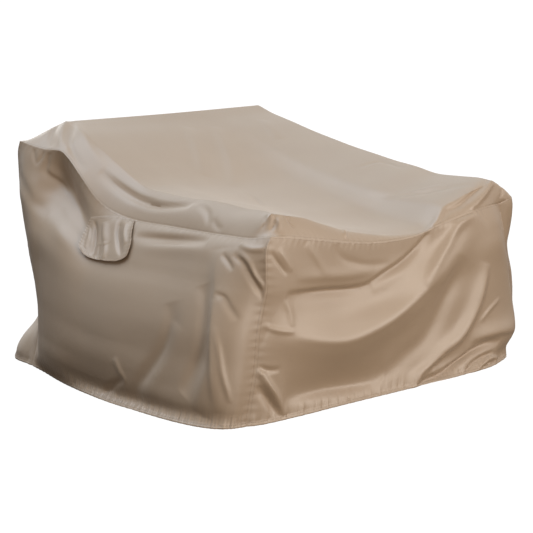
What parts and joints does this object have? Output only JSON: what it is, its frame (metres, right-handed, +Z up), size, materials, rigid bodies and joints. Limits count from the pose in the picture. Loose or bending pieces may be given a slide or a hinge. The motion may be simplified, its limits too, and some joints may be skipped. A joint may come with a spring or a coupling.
{
  "type": "chaise lounge cover",
  "caption": "Fitted outdoor cloth cover with a sagging top hung between a high back and two low arms, skirts to the floor and a vent flap.",
  "frame": {"origin": "middle of the hem's plan, on the floor", "axes": "+Z up, +Y towards the high back, +X to the right of someone facing the front from outside"},
  "size_m": [1.6007, 1.369, 0.8626],
  "materials": {
    "top_cloth": "woven coated polyester with a soft satin sheen",
    "skirt_cloth": "woven coated polyester with a soft satin sheen",
    "flap_cloth": "woven coated polyester with a stitched edge"
  },
  "bodies": {
    "root": {"top_panel": "top_cloth", "front_panel": "skirt_cloth", "back_panel": "skirt_cloth", "left_panel": "skirt_cloth", "right_panel": "skirt_cloth", "vent_flap": "flap_cloth"}
  },
  "joints": []
}
